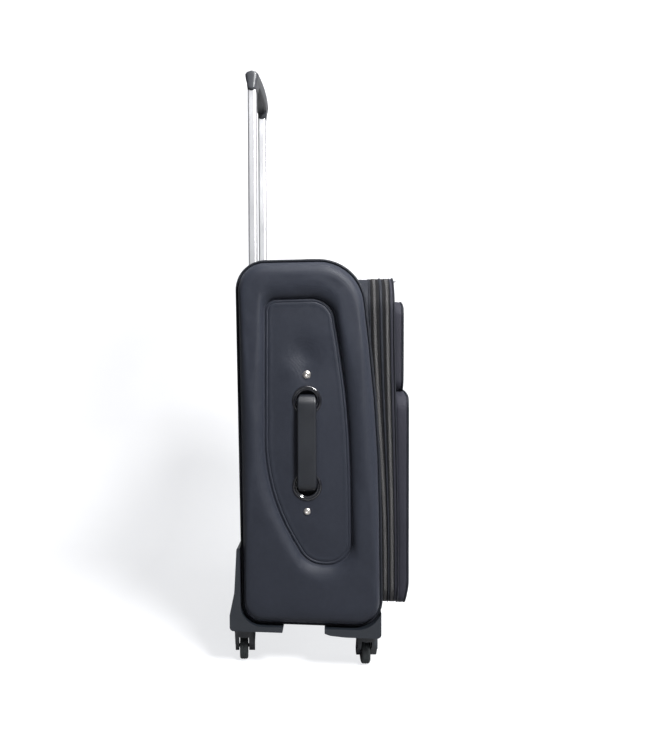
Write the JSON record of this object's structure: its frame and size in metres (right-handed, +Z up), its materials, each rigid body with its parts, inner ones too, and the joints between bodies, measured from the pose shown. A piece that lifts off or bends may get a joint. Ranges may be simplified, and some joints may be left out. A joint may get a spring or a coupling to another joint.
{
  "type": "softside upright suitcase",
  "caption": "Upright softside suitcase with padded sunken sides, zipped lid and pockets, expansion collar, pull-out handle and swivel castors.",
  "frame": {"origin": "on the floor under the middle of the case", "axes": "+Z up, front with the pockets towards -Y, the side carry handle on the -X side; trolley handle pulled out at rest"},
  "size_m": [0.42, 0.2981, 1.0125],
  "materials": {
    "panel_fabric": "fine smooth polyester over foam, soft sheen",
    "front_fabric": "fine polyester weave",
    "lining_fabric": "thin matt lining",
    "piping": "covered cord",
    "webbing": "woven webbing",
    "board": "pressed board",
    "hoop_steel": "drawn wire",
    "moulded_plastic": "moulded, fine spark texture",
    "handle_plastic": "moulded, satin",
    "gloss_eyelet": "polished moulding",
    "strap_rubber": "moulded soft strap",
    "screw_metal": "bright plated dome",
    "tube_aluminium": "satin anodised",
    "rod_steel": "plain rod",
    "zip_tape": "woven tape with coil teeth",
    "zip_metal": "painted zinc",
    "wheel_tread": "moulded tread"
  },
  "bodies": {
    "case": {"back_panel": "panel_fabric", "top_panel": "panel_fabric", "bottom_panel": "panel_fabric", "front_gusset": "panel_fabric", "frame_hoop": "hoop_steel", "left_side_panel": "panel_fabric", "right_side_panel": "panel_fabric", "side_boards": "board", "side_piping": "piping", "lining_back": "lining_fabric", "compression_straps": "webbing", "strap_buckle": "handle_plastic", "rear_guard_left": "moulded_plastic", "rear_guard_right": "moulded_plastic", "front_bracket_left": "moulded_plastic", "front_bracket_right": "moulded_plastic", "outer_tubes": "tube_aluminium", "trolley_bezel": "handle_plastic", "tube_foot_bracket": "moulded_plastic", "side_handle_eyelets": "gloss_eyelet", "top_handle_eyelets": "gloss_eyelet", "handle_screws": "screw_metal", "expansion_zip_rear": "zip_tape"},
    "trolley": {"inner_tubes": "tube_aluminium", "grip_body": "handle_plastic", "grip_underside": "handle_plastic", "lock_blocks": "handle_plastic"},
    "button": {"push_button": "handle_plastic", "push_rods": "rod_steel"},
    "pin_left": {"lock_pin_left": "rod_steel"},
    "pin_right": {"lock_pin_right": "rod_steel"},
    "side_strap": {"side_handle": "strap_rubber"},
    "top_strap": {"top_handle": "strap_rubber"},
    "collar": {"expansion_collar": "panel_fabric", "expansion_gusset": "panel_fabric", "expansion_zip_front": "zip_tape", "main_zip_rear": "zip_tape", "lid_hinge_tape": "front_fabric"},
    "lid": {"lid_panel": "front_fabric", "lid_lining": "lining_fabric", "upper_pocket": "front_fabric", "lower_pocket": "front_fabric", "pocket_zips": "zip_tape", "main_zip_front": "zip_tape"},
    "main_left": {"main_slider_left": "zip_metal"},
    "main_left_pull": {"main_pull_left": "zip_metal"},
    "main_right": {"main_slider_right": "zip_metal"},
    "main_right_pull": {"main_pull_right": "zip_metal"},
    "upper_runner": {"upper_slider": "zip_metal"},
    "upper_runner_pull": {"upper_pull": "zip_metal"},
    "lower_runner": {"lower_slider": "zip_metal"},
    "lower_runner_pull": {"lower_pull": "zip_metal"},
    "castor_rear_left": {"castor_rear_left": "moulded_plastic"},
    "wheel_rear_left": {"wheel_rear_left": "wheel_tread"},
    "castor_rear_right": {"castor_rear_right": "moulded_plastic"},
    "wheel_rear_right": {"wheel_rear_right": "wheel_tread"},
    "castor_front_left": {"castor_front_left": "moulded_plastic"},
    "wheel_front_left": {"wheel_front_left": "wheel_tread"},
    "castor_front_right": {"castor_front_right": "moulded_plastic"},
    "wheel_front_right": {"wheel_front_right": "wheel_tread"}
  },
  "joints": [
    {"name": "trolley_slide", "type": "slide", "parent": "case", "child": "trolley", "axis": [0, 0, 1], "range_m": [-0.335, 0]},
    {"name": "button_press", "type": "slide", "parent": "trolley", "child": "button", "axis": [0, 0, -1], "range_m": [0, 0.004], "stiffness_N_per_m": 500, "springref_m": -0.006},
    {"name": "pin_left_retract", "type": "slide", "parent": "trolley", "child": "pin_left", "axis": [1, 0, 0], "range_m": [0, 0.003]},
    {"name": "pin_right_retract", "type": "slide", "parent": "trolley", "child": "pin_right", "axis": [-1, 0, 0], "range_m": [0, 0.003]},
    {"name": "side_handle_lift", "type": "slide", "parent": "case", "child": "side_strap", "axis": [-1, 0, 0], "range_m": [0, 0.012]},
    {"name": "top_handle_lift", "type": "slide", "parent": "case", "child": "top_strap", "axis": [0, 0, 1], "range_m": [0, 0.012]},
    {"name": "expansion_slide", "type": "slide", "parent": "case", "child": "collar", "axis": [0, -1, 0], "range_m": [0, 0.04]},
    {"name": "lid_hinge", "type": "hinge", "parent": "collar", "child": "lid", "pos_m": [0.184, -0.106, 0.3755], "axis": [0, 0, 1], "range_deg": [0, 105]},
    {"name": "main_zip_left", "type": "slide", "parent": "collar", "child": "main_left", "axis": [-1, 0, 0], "range_m": [0, 0.095]},
    {"name": "main_pull_left_swing", "type": "hinge", "parent": "main_left", "child": "main_left_pull", "pos_m": [-0.012, -0.106, 0.64755], "axis": [1, 0, 0], "range_deg": [-120, 0]},
    {"name": "main_zip_right", "type": "slide", "parent": "collar", "child": "main_right", "axis": [1, 0, 0], "range_m": [0, 0.095]},
    {"name": "main_pull_right_swing", "type": "hinge", "parent": "main_right", "child": "main_right_pull", "pos_m": [0.012, -0.106, 0.64755], "axis": [1, 0, 0], "range_deg": [-120, 0]},
    {"name": "upper_zip", "type": "slide", "parent": "lid", "child": "upper_runner", "axis": [-1, 0, 0], "range_m": [0, 0.24]},
    {"name": "upper_pull_swing", "type": "hinge", "parent": "upper_runner", "child": "upper_runner_pull", "pos_m": [0.12, -0.14035, 0.578], "axis": [1, 0, 0], "range_deg": [-90, 0]},
    {"name": "lower_zip", "type": "slide", "parent": "lid", "child": "lower_runner", "axis": [-1, 0, 0], "range_m": [0, 0.24]},
    {"name": "lower_pull_swing", "type": "hinge", "parent": "lower_runner", "child": "lower_runner_pull", "pos_m": [0.12, -0.14785, 0.424], "axis": [1, 0, 0], "range_deg": [-90, 0]},
    {"name": "swivel_rear_left", "type": "hinge", "parent": "case", "child": "castor_rear_left", "pos_m": [-0.165, 0.1285, 0.03], "axis": [0, 0, 1], "continuous": true},
    {"name": "roll_rear_left", "type": "hinge", "parent": "castor_rear_left", "child": "wheel_rear_left", "pos_m": [-0.15307, 0.12975, 0.022], "axis": [-0.1045, 0.9945, 0], "continuous": true},
    {"name": "swivel_rear_right", "type": "hinge", "parent": "case", "child": "castor_rear_right", "pos_m": [0.165, 0.1285, 0.03], "axis": [0, 0, 1], "continuous": true},
    {"name": "roll_rear_right", "type": "hinge", "parent": "castor_rear_right", "child": "wheel_rear_right", "pos_m": [0.17693, 0.12975, 0.022], "axis": [-0.1045, 0.9945, 0], "continuous": true},
    {"name": "swivel_front_left", "type": "hinge", "parent": "case", "child": "castor_front_left", "pos_m": [-0.165, -0.0755, 0.03], "axis": [0, 0, 1], "continuous": true},
    {"name": "roll_front_left", "type": "hinge", "parent": "castor_front_left", "child": "wheel_front_left", "pos_m": [-0.15307, -0.07425, 0.022], "axis": [-0.1045, 0.9945, 0], "continuous": true},
    {"name": "swivel_front_right", "type": "hinge", "parent": "case", "child": "castor_front_right", "pos_m": [0.165, -0.0755, 0.03], "axis": [0, 0, 1], "continuous": true},
    {"name": "roll_front_right", "type": "hinge", "parent": "castor_front_right", "child": "wheel_front_right", "pos_m": [0.17693, -0.07425, 0.022], "axis": [-0.1045, 0.9945, 0], "continuous": true}
  ],
  "couplings": [
    {"joint": "pin_left_retract", "follows": "button_press", "ratio": 0.75},
    {"joint": "pin_right_retract", "follows": "button_press", "ratio": 0.75}
  ]
}
